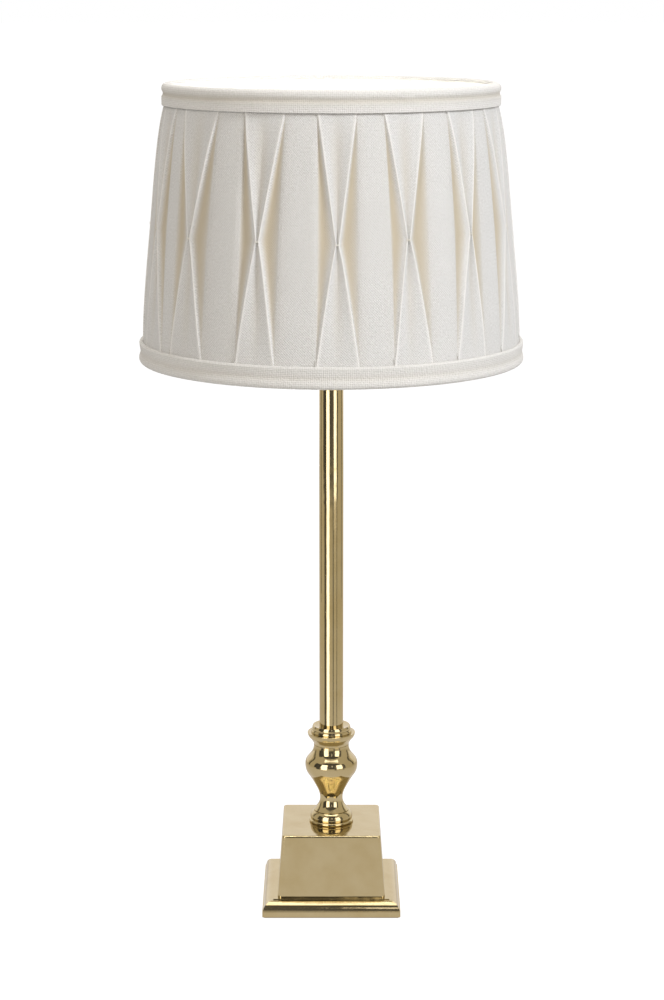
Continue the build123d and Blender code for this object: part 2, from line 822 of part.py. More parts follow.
def pinch_stitches():
    # One small knot across each pleat's waist, lying on the cloth.
    low, high = open_cloth()
    height = low + (high - low) * pinch_height_share
    reach = cloth_radius(height) + pleat_waist_rise + soft_gap / 2 + stitch_radius
    knot = Rot(90, 0, 0) * Cylinder(stitch_radius, stitch_length)
    return group(Rot(0, 0, pleat_angle(n)) * Pos(reach, 0, height) * knot for n in range(pinch_count))


makers = [
    base_pad, base_plinth, base_block, base_weight, cord_bushing, rod_washer, rod_nut, threaded_rod,
    foot_bead, vase, neck_collar, stem_tube, stem_cap,
    holder_cap, holder_lock_screw, holder_insert, terminal_screws, centre_contact, side_contact,
    screw_shell, shell_insulator, holder_sleeve,
    switch_spindle, switch_cam, switch_knob,
    shade_seat_ring, shade_clamp_ring,
    bulb_tip, bulb_insulator, bulb_shell, bulb_glass, bulb_stem, bulb_filament,
    shade_fitter, spider_arms, bottom_wire, top_wire, shade_liner, shade_cover, bottom_trim, top_trim, pinch_stitches,
]

os.makedirs("parts", exist_ok=True)
for maker in makers:
    export_step(maker(), f"parts/{maker.__name__}.step")
print("lamp height", round(shade_top, 1))
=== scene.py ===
import bpy
import math
import numpy as np
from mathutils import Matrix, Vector


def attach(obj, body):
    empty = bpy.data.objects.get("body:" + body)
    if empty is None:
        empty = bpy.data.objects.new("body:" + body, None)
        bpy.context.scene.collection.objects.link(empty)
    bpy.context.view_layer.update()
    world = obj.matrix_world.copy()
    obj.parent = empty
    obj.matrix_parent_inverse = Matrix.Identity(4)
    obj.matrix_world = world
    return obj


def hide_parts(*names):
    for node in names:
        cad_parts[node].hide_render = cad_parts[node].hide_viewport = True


# Candlestick lamp: polished brass foot, baluster and stem under a pinch-pleated linen shade.
# Lengths are in millimetres until a mesh is made; the frame and all objects are in metres.
# Inside a material, distances are in metres and a noise's scale is in repeats per metre.

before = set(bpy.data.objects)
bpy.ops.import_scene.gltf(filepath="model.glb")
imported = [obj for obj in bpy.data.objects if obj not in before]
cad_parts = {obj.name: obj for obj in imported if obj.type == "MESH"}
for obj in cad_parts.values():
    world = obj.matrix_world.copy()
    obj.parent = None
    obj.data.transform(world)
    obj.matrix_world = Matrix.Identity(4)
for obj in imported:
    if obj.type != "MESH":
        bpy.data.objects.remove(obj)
bpy.context.view_layer.update()
scene = bpy.context.scene
mm = 0.001
dice = np.random.default_rng(22)
print("frame loaded:", len(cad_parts), "nodes")


# Camera.

view = {"x": 0.45, "back": 1611.3, "height": 615.6, "down": 11.935, "lens": 89.77}


def makeCamera(values):
    data = bpy.data.cameras.new("camera")
    camera = bpy.data.objects.new("camera", data)
    scene.collection.objects.link(camera)
    data.sensor_width = 36.0
    data.lens = values["lens"]
    data.clip_start, data.clip_end = 0.05, 60.0
    camera.location = (values["x"] * mm, -values["back"] * mm, values["height"] * mm)
    camera.rotation_euler = (math.radians(90 - values["down"]), 0, 0)
    scene.camera = camera


makeCamera(view)


# Small tools.

def linear(code):
    # sRGB hex to linear: below 0.04045 divide by 12.92, else ((c + 0.055) / 1.055) to the 2.4.
    parts = np.array([int(code[i:i + 2], 16) for i in (1, 3, 5)]) / 255
    low, high = parts / 12.92, ((parts + 0.055) / 1.055) ** 2.4
    return (*np.where(parts <= 0.04045, low, high).tolist(), 1.0)


def addNode(tree, kind, settings=None, links=None):
    # One node: a setting is a property where the node has it, else an input socket's value.
    node = tree.nodes.new("ShaderNode" + kind)
    for key, value in (settings or {}).items():
        if isinstance(key, str) and hasattr(node, key):
            setattr(node, key, value)
        else:
            node.inputs[key].default_value = value
    for key, source in (links or {}).items():
        tree.links.new(source, node.inputs[key])
    return node


def newMaterial(name):
    material = bpy.data.materials.new(name)
    material.use_nodes = True
    material.node_tree.nodes.clear()
    return material, material.node_tree


def endShader(tree, settings, links=None):
    shader = addNode(tree, "BsdfPrincipled", settings, links)
    addNode(tree, "OutputMaterial", links={"Surface": shader.outputs[0]})
    return shader


def blendColours(tree, share, first, second):
    # A straight mix from the first colour to the second by share.
    mix = addNode(tree, "Mix", {"data_type": "RGBA"})
    mix.inputs[6].default_value, mix.inputs[7].default_value = linear(first), linear(second)
    tree.links.new(share, mix.inputs[0])
    return mix.outputs[2]


def stretchedNoise(tree, source, scale, detail=2.0, roughness=0.5, turn=0.0):
    # Noise with its own scale along each axis, in repeats per metre, after a turn about Z.
    place = addNode(tree, "Mapping", {"Rotation": (0, 0, turn)}, {"Vector": source})
    sized = addNode(tree, "VectorMath", {"operation": "MULTIPLY", 1: scale},
                    {0: place.outputs[0]})
    return addNode(tree, "TexNoise", {"Scale": 1.0, "Detail": detail, "Roughness": roughness},
                   {"Vector": sized.outputs[0]}).outputs[0]


def ramp(tree, value, low, high, outLow=0.0, outHigh=1.0):
    node = addNode(tree, "MapRange", {"From Min": low, "From Max": high,
                                      "To Min": outLow, "To Max": outHigh}, {"Value": value})
    return node.outputs[0]


def meshObject(name, points, faces, uv=None, smooth=True):
    # points: (n, 3) in mm. faces: (m, 4) indices, with outward corners counterclockwise.
    mesh = bpy.data.meshes.new(name)
    mesh.vertices.add(len(points))
    mesh.vertices.foreach_set("co", (points * mm).astype(np.float32).ravel())
    mesh.loops.add(faces.size)
    mesh.loops.foreach_set("vertex_index", faces.astype(np.int32).ravel())
    mesh.polygons.add(len(faces))
    mesh.polygons.foreach_set("loop_start", np.arange(0, faces.size, faces.shape[1], dtype=np.int32))
    mesh.update(calc_edges=True)
    mesh.polygons.foreach_set("use_smooth", np.full(len(faces), smooth))
    if uv is not None:
        layer = mesh.uv_layers.new(name="cloth")
        layer.data.foreach_set("uv", (uv * mm).astype(np.float32).ravel())
    mesh.validate()
    piece = bpy.data.objects.new(name, mesh)
    scene.collection.objects.link(piece)
    return piece


def gridFaces(rows, columns, closedRows, closedColumns):
    # Quads between neighbouring rows and columns; a closed way wraps back to its start.
    i = np.arange(rows if closedRows else rows - 1)[:, None]
    j = np.arange(columns if closedColumns else columns - 1)[None, :]
    nextRow, nextColumn = (i + 1) % rows, (j + 1) % columns
    corners = (i * columns + j, i * columns + nextColumn,
               nextRow * columns + nextColumn, nextRow * columns + j)
    return np.stack(np.broadcast_arrays(*corners), axis=-1).reshape(-1, 4)


def gridUv(across, along):
    # Face-corner UVs: a way that closes has one value more than the grid, so that its seam
    # doesn't wrap.
    u, v = np.broadcast_arrays(across, along)
    lower, upper = slice(0, -1), slice(1, None)
    corners = [(u[lower, lower], v[lower, lower]), (u[lower, upper], v[lower, upper]),
               (u[upper, upper], v[upper, upper]), (u[upper, lower], v[upper, lower])]
    return np.stack([np.stack(c, axis=-1) for c in corners], axis=2).reshape(-1, 2)


def aroundAxis(radius, angle, height):
    # Cylinder coordinates to x, y, z.
    places = np.broadcast_arrays(radius * np.cos(angle), radius * np.sin(angle), height)
    return np.stack(places, axis=-1)


def addWeight(piece, name, weight):
    # One number at each vertex, which the cloth's material reads by its name.
    layer = piece.data.attributes.new(name, "FLOAT", "POINT")
    layer.data.foreach_set("value", weight.astype(np.float32).ravel())


def bezier(p0, p1, p2, p3, t):
    # Cubic curve: (1-t)^3 p0 + 3(1-t)^2 t p1 + 3(1-t) t^2 p2 + t^3 p3.
    s = 1 - t
    return s ** 3 * p0 + 3 * s * s * t * p1 + 3 * s * t * t * p2 + t ** 3 * p3


# Brass.

brass = {"colour": "#c5b78f", "warm": "#bfaf84", "roughness": 0.085, "wear": 0.06,
         "ripple": 0.035, "rippleDepth": 0.004, "line": 0.004, "lineDepth": 0.0006}


def brassMaterial(name, lines):
    # Lacquered polished brass. The buffing wheel leaves faint waves and hair lines, so that its
    # mirror image of the room is soft and slightly wavy. lines is the hair lines' scale along
    # X, Y and Z: small along the way the wheel, lathe or die ran, and large across it.
    material, tree = newMaterial(name)
    place = addNode(tree, "TexCoord").outputs["Object"]
    cloudy = stretchedNoise(tree, place, (60, 60, 60), 3.0)
    waves = stretchedNoise(tree, place, (90, 90, 90), 1.0)
    hair = stretchedNoise(tree, place, lines, 3.0, 0.6)
    colour = blendColours(tree, ramp(tree, cloudy, 0.35, 0.7), brass["colour"], brass["warm"])
    scratched = ramp(tree, hair, 0.35, 0.75, 0, brass["wear"])
    polished = ramp(tree, cloudy, 0.3, 0.7, brass["roughness"] * 0.7, brass["roughness"])
    worn = addNode(tree, "Math", {"operation": "ADD"}, {0: scratched, 1: polished})
    soft = addNode(tree, "Bump", {"Strength": brass["ripple"], "Distance": brass["rippleDepth"]},
                   {"Height": waves})
    fine = addNode(tree, "Bump", {"Strength": brass["line"], "Distance": brass["lineDepth"]},
                   {"Height": hair, "Normal": soft.outputs[0]})
    endShader(tree, {"Metallic": 1.0}, {"Base Color": colour, "Roughness": worn.outputs[0],
                                       "Normal": fine.outputs[0]})
    return material


# Real hair lines are about 0.1 mm apart, too fine to show, so they are drawn about 0.7 mm apart,
# or 1.1 mm on the castings.
turnedBrass = brassMaterial("turned_lacquered_brass", (25, 25, 1400))
drawnBrass = brassMaterial("drawn_lacquered_brass", (1400, 1400, 12))
castBrass = brassMaterial("buffed_cast_brass", (60, 60, 900))


# Other hard materials.

def plainMaterial(name, colour, second, roughness, grain, bump, settings=None):
    # One finish with a slow change of tone and a fine grain, in mm.
    material, tree = newMaterial(name)
    place = addNode(tree, "TexCoord").outputs["Object"]
    slow = stretchedNoise(tree, place, (55, 55, 55), 3.0)
    fine = stretchedNoise(tree, place, (1000 / grain,) * 3, 2.0, 0.6)
    tone = blendColours(tree, ramp(tree, slow, 0.3, 0.7), colour, second)
    rough = ramp(tree, fine, 0.3, 0.7, roughness * 0.85, min(1.0, roughness * 1.15))
    relief = addNode(tree, "Bump", {"Strength": bump, "Distance": 0.0005}, {"Height": fine})
    endShader(tree, settings or {}, {"Base Color": tone, "Roughness": rough, "Normal": relief.outputs[0]})
    return material


def glassMaterial(name, colour):
    # Blown soda-lime glass: clear, smooth, with slow waves in the wall.
    material, tree = newMaterial(name)
    place = addNode(tree, "TexCoord").outputs["Object"]
    waves = stretchedNoise(tree, place, (70, 70, 30), 1.0)
    relief = addNode(tree, "Bump", {"Strength": 0.05, "Distance": 0.002}, {"Height": waves})
    endShader(tree, {"Base Color": linear(colour), "Roughness": 0.02, "IOR": 1.52,
                     "Transmission Weight": 1.0}, {"Normal": relief.outputs[0]})
    return material


finishes = {
    # Pressed brass contacts, unlacquered and a little dull.
    "contact_brass": plainMaterial("pressed_contact_brass", "#b89a5c", "#9c8048", 0.32, 0.8, 0.05,
                                   {"Metallic": 1.0}),
    # Wool felt: matt, dark, hairy.
    "felt": plainMaterial("wool_felt", "#2c332d", "#20261f", 0.95, 0.7, 0.8,
                          {"Sheen Weight": 0.4, "Sheen Roughness": 0.5, "Specular IOR Level": 0.1}),
    # Sand-cast iron: dark grey, gritty.
    "cast_iron": plainMaterial("sand_cast_iron", "#4a4a4b", "#3a3835", 0.6, 1.2, 0.7, {"Metallic": 0.8}),
    # Bright zinc plate on steel.
    "zinc_steel": plainMaterial("zinc_plated_steel", "#c3c7cb", "#aab0b8", 0.3, 1.5, 0.08,
                                {"Metallic": 1.0}),
    # Phenolic moulding: near black, slightly glossy.
    "moulding": plainMaterial("moulded_phenolic", "#262322", "#1f1c1b", 0.35, 0.6, 0.1),
    # Powder-coated wire: white with orange peel.
    "white_wire": plainMaterial("powder_coated_steel", "#e6e5e1", "#dddcd6", 0.4, 1.0, 0.25),
    # Rolled styrene sheet behind the cloth: milk white, satin.
    "styrene": plainMaterial("rolled_styrene", "#ebe9e2", "#e2dfd5", 0.5, 2.0, 0.1,
                             {"Subsurface Weight": 0.1, "Subsurface Radius": (0.004, 0.004, 0.003)}),
    # Vitreous insulator in the bulb's cap.
    "black_glass": plainMaterial("vitrite", "#141416", "#0e0e10", 0.15, 2.0, 0.05),
    # Nickel-plated cap of the bulb.
    "bulb_cap": plainMaterial("nickel_plate", "#c9c7c0", "#b9b6ac", 0.28, 1.0, 0.06, {"Metallic": 1.0}),
    # Phosphor coat on the filament sticks: chalky yellow.
    "filament": plainMaterial("phosphor_coat", "#e7bb45", "#dcae3a", 0.75, 0.5, 0.3),
    "clear_glass": glassMaterial("blown_glass", "#f6f9f8"),
}
brassByNode = {"stem_tube": drawnBrass, "base_plinth": castBrass, "base_block": castBrass}


def dressNodes():
    # Every node of the frame gets its finish from its slot; brass also by how it was made.
    for name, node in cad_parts.items():
        slots = {s.material.name.split(".")[0] for s in node.material_slots if s.material}
        finish = brassByNode.get(name, turnedBrass)
        for slot in slots:
            finish = finishes.get(slot, finish)
        node.data.materials.clear()
        node.data.materials.append(finish)


dressNodes()
print("hard materials done")


# Cloth materials.

# Pitch, uneven and reliefDepth are in mm. A noise has its scale across and along a thread, and
# crossing, grain and slub are the parts they play in the thickness of the cloth.
# fold is a painted shade colour for hollows, and edge is a painted highlight colour for crests.
weave = {"pitch": 0.8, "uneven": 0.6, "colour": "#e8e7e5", "shade": "#bfbeb9", "fold": "#c4b9a3",
         "edge": "#f4f2ee", "relief": 0.8, "reliefDepth": 0.3, "threadNoise": (1300, 90),
         "slubNoise": (1100, 160), "grainNoise": 800, "crossing": 0.45, "grain": 0.35, "slub": 0.9}


def bothWays(scale):
    # A noise's scale on X, Y and Z for the threads that X crosses, then for those that Y crosses.
    across, along = scale
    return (across, along, 1), (along, across, 1)


def linenMaterial(name, colour, shade, fold, turn):
    # Plain-woven linen-look cloth: matt and soft, a fine checker of crossing threads with slubs.
    # The fold colour is painted shade in the pleats' hollows, and the paler edge colour is a painted
    # highlight along the folds' crests.
    # The real threads are about 0.4 mm apart; they are drawn 0.8 mm apart, so that they show.
    material, tree = newMaterial(name)
    cloth = addNode(tree, "UVMap", {"uv_map": "cloth"}).outputs[0]
    turned = addNode(tree, "Mapping", {"Rotation": (0, 0, math.radians(turn))},
                     {"Vector": cloth}).outputs[0]
    split = addNode(tree, "SeparateXYZ", links={"Vector": turned})
    threads = []
    for axis, scale in enumerate(bothWays(weave["threadNoise"])):
        uneven = stretchedNoise(tree, turned, scale, 1.0)
        shifted = addNode(tree, "Math", {"operation": "MULTIPLY_ADD", 1: weave["uneven"] * mm},
                          {0: uneven, 2: split.outputs[axis]})
        phase = addNode(tree, "Math", {"operation": "MULTIPLY", 1: math.pi / (weave["pitch"] * mm)},
                        {0: shifted.outputs[0]})
        threads.append(addNode(tree, "Math", {"operation": "SINE"}, {0: phase.outputs[0]}).outputs[0])
    crossing = addNode(tree, "Math", {"operation": "MULTIPLY"}, {0: threads[0], 1: threads[1]}).outputs[0]
    slubs = [stretchedNoise(tree, turned, scale, 2.0, 0.6) for scale in bothWays(weave["slubNoise"])]
    slub = addNode(tree, "Math", {"operation": "MAXIMUM"}, {0: slubs[0], 1: slubs[1]}).outputs[0]
    slow = stretchedNoise(tree, turned, (40, 40, 40), 2.0)
    speckle = stretchedNoise(tree, turned, (weave["grainNoise"],) * 3, 1.0)
    grain = ramp(tree, speckle, 0.25, 0.75, -weave["grain"], weave["grain"])
    lumps = ramp(tree, slub, 0.66, 0.85, 0, weave["slub"])
    thick = addNode(tree, "Math", {"operation": "ADD"}, {0: grain, 1: lumps})
    raised = addNode(tree, "Math", {"operation": "MULTIPLY_ADD", 1: weave["crossing"]},
                     {0: crossing, 2: thick.outputs[0]}).outputs[0]
    pale = blendColours(tree, ramp(tree, raised, -0.8, 0.8), shade, colour)
    # Painted shade: the fold colour is mixed in by how deep the cloth lies.
    shadeWeight = addNode(tree, "Attribute", {"attribute_name": "foldDepth"}).outputs["Fac"]
    toned = addNode(tree, "Mix", {"data_type": "RGBA", 7: linear(fold)}, {0: shadeWeight, 6: pale})
    # Painted highlight: the paler edge colour along the folds' crests.
    crest = addNode(tree, "Attribute", {"attribute_name": "foldEdge"}).outputs["Fac"]
    toned = addNode(tree, "Mix", {"data_type": "RGBA", 7: linear(weave["edge"])},
                    {0: crest, 6: toned.outputs[2]})
    tired = addNode(tree, "HueSaturation", {"Saturation": 1.0},
                    {"Color": toned.outputs[2], "Value": ramp(tree, slow, 0.3, 0.7, 0.99, 1.01)})
    relief = addNode(tree, "Bump", {"Strength": weave["relief"], "Distance": weave["reliefDepth"] * mm},
                     {"Height": raised})
    endShader(tree, {"Roughness": 0.95, "Specular IOR Level": 0.12, "Sheen Weight": 0.1,
                     "Sheen Roughness": 0.6},
              {"Base Color": tired.outputs[0], "Normal": relief.outputs[0]})
    return material


# Each cloth's fold colour is painted shade for its hollows and grooves.
shadeLinen = linenMaterial("linen_shade_cloth", weave["colour"], weave["shade"], weave["fold"], 0)
bindingLinen = linenMaterial("linen_bias_tape", "#e9e7e3", "#cbc9c3", "#c0b9aa", 45)
cottonThread = plainMaterial("cotton_thread", "#efece4", "#dcd6c8", 0.9, 0.3, 0.6, {"Sheen Weight": 0.2})
print("cloth materials done")


# Shade cover.

# Heights and radii in mm, the same as the frame's, and azimuths in degrees. A list has one value
# for each pleat, from the front one round to the right. The half widths at the bindings are given
# for the pleats' left sides, then for their right ones, and so is the place of the hollow.
cover = {
    "low": 374.2, "high": 542.2, "bindingLow": 382.9, "bindingHigh": 533.6,
    "wireRadius": 121.9, "wireHeight": 372.0, "slope": 0.10261, "clear": 1.0, "swell": 1.8,
    "azimuth": [1.8, 23.6, 47.2, 70.2, 92.3, 114.1, 136.0, 157.6,
                179.6, 201.4, 223.6, 245.3, 267.6, 290.0, 311.5, 337.5],
    "waistHeight": [455.8, 458.0, 459.0, 460.0, 458.6, 457.2, 456.4, 457.8,
                    456.2, 457.5, 458.3, 456.0, 457.4, 458.5, 455.8, 457.0],
    "topHalf": [[11.0, 11.3, 10.5, 15.3, 12.0, 11.2, 12.6, 11.4,
                 12.3, 11.6, 12.4, 11.2, 12.2, 11.5, 15.5, 11.8],
                [11.5, 13.8, 13.2, 9.0, 12.2, 11.8, 11.0, 12.7,
                 11.5, 12.4, 11.1, 12.6, 11.7, 11.0, 16.0, 13.7]],
    "bottomHalf": [[12.5, 10.5, 15.6, 18.5, 13.4, 12.6, 14.1, 13.0,
                    13.8, 12.8, 14.2, 13.1, 13.9, 10.0, 14.3, 12.8],
                   [12.8, 14.4, 9.3, 10.0, 13.8, 14.3, 12.9, 13.7,
                    12.7, 14.0, 13.2, 13.6, 12.8, 18.5, 15.2, 12.1]],
    "waistHalf": 0.9, "lowerPower": 0.88, "waistRise": 1.3, "endRise": 0.5, "endPower": 8,
    "waistDip": 0.6, "frontDip": 2.2, "dipFloor": 0.03, "least": 0.1,
    "panelBow": 0.8, "panelCrown": 0.2, "foldTurn": 0.4, "roll": 1.2, "thickness": 0.7,
    "hollowAt": [0.68, 0.34], "sag": 0.6,
    # edgeHalf and edgeTint set the painted highlight on the crests; hollowFrom, hollowSpan and frontTint set
    # the painted shade in the hollows.
    "edgeHalf": 0.6, "edgeTint": 0.7, "hollowFrom": 0.2, "hollowSpan": 1.8, "frontTint": 0.33,
    "rows": 60, "front": 9, "fold": 5, "wall": 5, "bank": 7, "panel": 3,
}


def coneRadius(z, values=cover):
    # Straight cone through both rim wires.
    return values["wireRadius"] - values["slope"] * (z - values["wireHeight"])


def clothSwell(z, values=cover):
    # A flat-topped bulge, 1 - share^4, zero at the bindings and slimmer towards the lower one.
    share = 2 * (z - values["bindingLow"]) / (values["bindingHigh"] - values["bindingLow"]) - 1
    return values["swell"] * np.clip(1 - share ** 4, 0, 1) * (1 - values["sag"] * np.clip(-share, 0, 1))


def clothRadius(z, values=cover):
    return coneRadius(z) + values["clear"] + clothSwell(z)


def pleatSide(z, values, side, reach):
    # Half a pleat and half a panel at every height, in (sideways, outward) mm from the cloth's
    # round: five Bezier runs. The box's front rises from its middle crease to the fold, the fold
    # turns, a wall drops to the hollow beside it, and a bank climbs from there to the panel. The
    # fold's distance from the middle grows from the pinched waist to each binding, evenly above
    # the waist and as a power of the way below it. With the two coordinates come two weights.
    # The two weights are a painted highlight on the fold's crest and painted shade in the hollows.
    waist = np.array(values["waistHeight"])[None, :, None]
    top, bottom = (np.array(values[k][side])[None, :, None] for k in ("topHalf", "bottomHalf"))
    low, high = values["bindingLow"], values["bindingHigh"]
    above = z > waist
    away = np.clip(np.where(above, (z - waist) / (high - waist), (waist - z) / (waist - low)), 0, 1)
    share = np.clip((z - low) / (high - low), 0, 1)
    end = np.where(above, top, bottom)
    grown = np.where(above, away, away ** values["lowerPower"])
    half = values["waistHalf"] + (end - values["waistHalf"]) * grown
    edge = bottom + (top - bottom) * share - values["panelBow"] * 4 * share * (1 - share)
    rise = values["waistRise"] + (values["endRise"] - values["waistRise"]) * away ** values["endPower"]
    dip = values["waistDip"] + values["frontDip"] * 2 * np.sqrt(away * (1 - away) + values["dipFloor"])
    floor = values["least"] - clothSwell(z)
    crease = np.maximum(rise - dip, floor)
    turn = np.minimum(values["foldTurn"], half * 0.4)
    width = np.clip(edge - half, 0, None)
    # A hollow is 0.25 mm deep and deeper by half the room beside the fold, down to the floor.
    valley = np.maximum(floor, -(0.25 + 0.5 * width))
    drop = rise - valley
    bank = np.maximum(edge, half) + values["roll"]
    start = half + turn
    foot = start + (bank - start) * values["hollowAt"][side]
    crown = values["panelCrown"]

    def span(count):
        return np.linspace(0, 1, count + 1)[None, None, 1:]
    first = np.linspace(0, 1, values["front"] + 1)[None, None, :]
    runs = [
        (first, (0, half * 0.25, half * 0.6, half - turn),
         (crease, crease + (rise - crease) * 0.12, crease + (rise - crease) * 0.6, rise - 0.05)),
        (span(values["fold"]), (half - turn, half - turn * 0.2, half + turn * 0.6, start),
         (rise - 0.05, rise + 0.1, rise, rise - drop * 0.15)),
        (span(values["wall"]), (start, start + (foot - start) * 0.2, foot - (foot - start) * 0.35, foot),
         (rise - drop * 0.15, rise - drop * 0.45, valley, valley)),
        (span(values["bank"]), (foot, foot + (bank - foot) * 0.4, bank - values["roll"] * 0.5, bank),
         (valley, valley, valley * 0.3, crown * 0.3)),
        (span(values["panel"]), (bank, bank + (reach - bank) / 3, reach - (reach - bank) / 3, reach),
         (crown * 0.3, crown * 0.9, crown, crown)),
    ]
    whole = np.broadcast_shapes(half.shape, reach.shape)[:2]

    def joined(way):
        # One coordinate along all five runs.
        return np.concatenate([np.broadcast_to(bezier(*run[way], run[0]), whole + run[0].shape[-1:])
                               for run in runs], axis=2)
    sideways, outward = joined(1), joined(2)
    # Painted highlight on the fold's crest: a weight that peaks there, 1 - (distance from the fold /
    # edgeHalf)^2.
    crestHighlight = np.clip(1 - ((sideways - half) / values["edgeHalf"]) ** 2, 0, 1)
    crestHighlight = crestHighlight * np.clip(outward - rise + 1, 0, 1)
    # Painted shade: how far down a hollow is, (hollowFrom - outward) / hollowSpan, less on the box's front.
    shadeWeight = np.clip((values["hollowFrom"] - outward) / values["hollowSpan"], 0, 1)
    shadeWeight = shadeWeight * np.where(sideways < half, values["frontTint"], 1)
    return sideways, outward, crestHighlight, shadeWeight


def coverPoints(values):
    # Every row is one level cut. Each pleat has a side to the left and one to the right, and two
    # neighbours meet half way between their middles.
    rows = np.linspace(values["low"], values["high"], values["rows"] + 1)
    z = rows[:, None, None]
    middle = np.radians(np.array(values["azimuth"]))[None, :, None] - math.pi / 2
    radius = clothRadius(z)
    following = np.roll(middle, -1, axis=1)
    following[:, -1] += 2 * math.pi
    toNext = (following - middle) / 2 * radius
    toLast = np.roll(toNext, 1, axis=1)
    left, right = pleatSide(z, values, 0, toLast), pleatSide(z, values, 1, toNext)
    sideways, outward, edge, shadeWeight = (np.concatenate([way * a[:, :, ::-1], b[:, :, 1:-1]], axis=2)
                                      for a, b, way in zip(left, right, (-1, 1, 1, 1)))
    angle = middle + sideways / radius
    points = aroundAxis(radius + outward, angle, z)
    flat = [a.reshape(len(rows), -1) for a in (angle, edge, shadeWeight)]
    return points.reshape(len(rows), -1, 3), *flat, rows


def makeCover(values):
    points, angle, edge, shadeWeight, rows = coverPoints(values)
    columns = points.shape[1]
    # The cloth's own coordinates: the way round the wire, and height. The last column repeats
    # the first, one turn on.
    around = np.concatenate([angle, angle[:, :1] + 2 * math.pi], axis=1) * values["wireRadius"]
    faces = gridFaces(len(rows), columns, False, True)
    piece = meshObject("shadeCover", points.reshape(-1, 3), faces, gridUv(around, rows[:, None]))
    # Weights for painted shade in the hollows and a painted highlight on the crests.
    addWeight(piece, "foldDepth", shadeWeight)
    addWeight(piece, "foldEdge", edge * values["edgeTint"])
    piece.data.materials.append(shadeLinen)
    thick = piece.modifiers.new("thickness", "SOLIDIFY")
    thick.thickness, thick.offset = values["thickness"] * mm, -1
    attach(piece, "shade")
    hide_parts("shade_cover")
    return piece


shadeCover = makeCover(cover)
print("cover done:", len(shadeCover.data.polygons), "faces")


# Bindings.

# Outline of a rolled binding: (outward, along) mm from the wire's centre, counterclockwise, with
# "along" running from the rim towards the middle of the shade.
binding = {
    "outline": [(0.0, -3.1), (1.6, -2.65), (2.75, -1.45), (3.1, 0.0), (3.1, 1.3), (2.95, 2.5), (2.9, 3.7),
                (3.0, 5.0), (3.15, 6.3), (3.4, 7.6), (3.7, 8.9), (3.8, 10.0), (3.1, 10.85), (1.7, 10.75),
                (1.2, 10.0), (1.2, 7.0), (1.2, 4.2), (1.1, 2.3), (0.0, 1.95), (-1.15, 2.2), (-1.2, 2.9),
                (-1.8, 3.3), (-2.4, 2.7), (-2.75, 1.2), (-3.05, -0.3), (-2.7, -1.5), (-1.5, -2.7)],
    "steps": 3, "round": 480, "bead": 3.1, "edgeFrom": 4, "edgeOver": 6,
    "waves": (3, 7, 11, 17, 26), "phase": 6.28, "wobble": 0.07,
    "drag": 0.03, "dragTurns": (71, 23), "dragSlant": 0.55, "dragSway": 2.2, "dragStart": 1.3,
    "lap": 0.45, "lapHalf": 5, "lapSlant": 0.6, "lapRise": 0.6, "lapFall": 3.5,
    "grooveAt": 3.7, "grooveWidth": 2.0, "grooveTint": 0.6,
}


def smoothLoop(points, steps):
    # Closed Catmull-Rom curve: each span blends its four nearest points by cubic weights.
    p = np.array(points, float)
    t = (np.arange(steps) / steps)[None, :, None]
    a, b, c, d = (np.roll(p, k, axis=0)[:, None, :] for k in (1, 0, -1, -2))
    curve = 0.5 * (2 * b + (c - a) * t + (2 * a - 5 * b + 4 * c - d) * t ** 2
                   + (3 * b - a - 3 * c + d) * t ** 3)
    return curve.reshape(-1, 2)


def makeBinding(name, node, circle, height, way, seam, groove, proud, values):
    # The outline carried round the rim: radius = circle + outward + slope, height = wire + along.
    # Slow waves move the folded edge, short slanted drags pucker the tape, and its two ends
    # lap at the seam. A soft groove, e^-((along - grooveAt) / grooveWidth)^2, runs beside the
    # rolled edge, with painted shade in it. No point stands out past the bead, or past proud
    # more than that.
    outline = smoothLoop(values["outline"], values["steps"])
    if way < 0:
        outline = outline[::-1]
    outward, along = outline[:, 0][:, None], outline[:, 1][:, None]
    angle = np.linspace(0, 2 * math.pi, values["round"], endpoint=False)[None, :]
    waves = sum(np.sin(angle * n + dice.uniform(0, values["phase"])) / n ** 0.5 for n in values["waves"])
    edge = np.clip((along - values["edgeFrom"]) / values["edgeOver"], 0, 1)
    outside = np.clip(outward / 2, 0, 1)
    quick, slow = values["dragTurns"]
    drags = np.sin(angle * quick + along * values["dragSlant"] + values["dragSway"] * waves)
    drags = drags * np.sin(angle * slow + values["dragStart"])
    gap = (angle - math.radians(seam) + math.pi) % (2 * math.pi) - math.pi
    lapped = gap * circle - along * values["lapSlant"]
    lap = np.clip((lapped + values["lapHalf"]) / values["lapRise"], 0, 1)
    lap = lap * np.clip((values["lapHalf"] - lapped) / values["lapFall"], 0, 1)
    hollow = np.exp(-((along - values["grooveAt"]) / values["grooveWidth"]) ** 2) * outside
    push = outside * (drags * values["drag"] + lap * values["lap"] + proud) - hollow * groove
    slide = edge * waves * values["wobble"]
    z = height + way * (along + slide)
    lean = -cover["slope"] * (z - height)
    radius = np.minimum(circle + outward + push + lean, circle + values["bead"] + proud)
    points = aroundAxis(radius, angle, z)
    lengths = np.linalg.norm(np.roll(outline, -1, axis=0) - outline, axis=1)
    alongTape = np.concatenate([[0], np.cumsum(lengths)])[:, None]
    aroundTape = np.linspace(0, 2 * math.pi * circle, values["round"] + 1)[None, :]
    faces = gridFaces(len(outline), values["round"], True, True)
    piece = meshObject(name, points.reshape(-1, 3), faces, gridUv(aroundTape, alongTape))
    # Painted shade in the groove beside the rolled edge, darker where the groove is deeper.
    grooveShade = hollow * min(groove, 1) * values["grooveTint"]
    addWeight(piece, "foldDepth", np.broadcast_to(grooveShade, points.shape[:2]))
    piece.data.materials.append(bindingLinen)
    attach(piece, "shade")
    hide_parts(node)
    return piece


